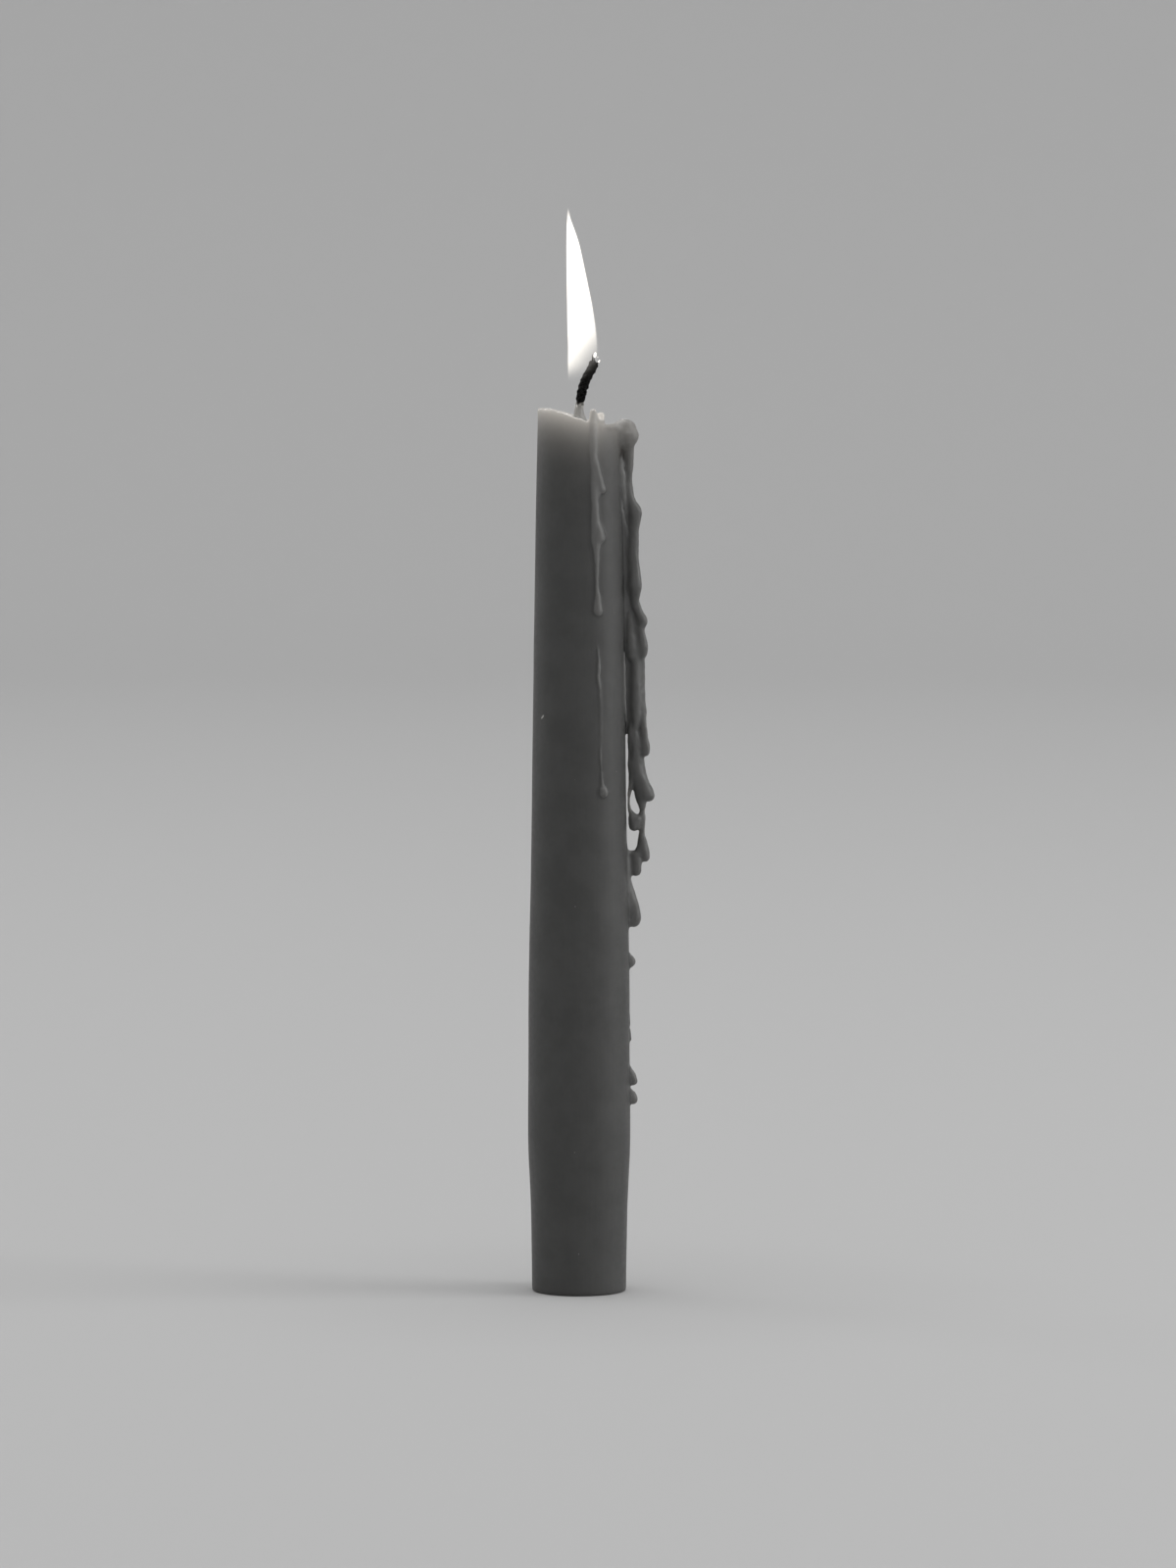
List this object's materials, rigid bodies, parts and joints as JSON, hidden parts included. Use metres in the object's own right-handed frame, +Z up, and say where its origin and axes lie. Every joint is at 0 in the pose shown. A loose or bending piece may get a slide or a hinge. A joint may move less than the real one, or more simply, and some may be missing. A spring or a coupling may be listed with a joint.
{
  "type": "melted candle",
  "caption": "Lit dinner candle on a round butt, its rim melted lower on one side, with a thick curtain of wax runs down that side and a hooked burnt wick.",
  "frame": {"origin": "centre of the flat end of the butt, on which the candle stands", "axes": "+Z up the candle along its wick, +X towards the side with the thick curtain of wax runs, -Y towards the front, where the single thin run is"},
  "size_m": [0.0268, 0.0218, 0.231],
  "materials": {
    "wax": "satin",
    "charred_cotton": "matte",
    "liquid_wax": "gloss",
    "flame_light": "polished"
  },
  "bodies": {
    "root": {"wax_body": "wax", "wick": "charred_cotton", "melt_pool": "liquid_wax", "flame": "flame_light"}
  },
  "joints": []
}
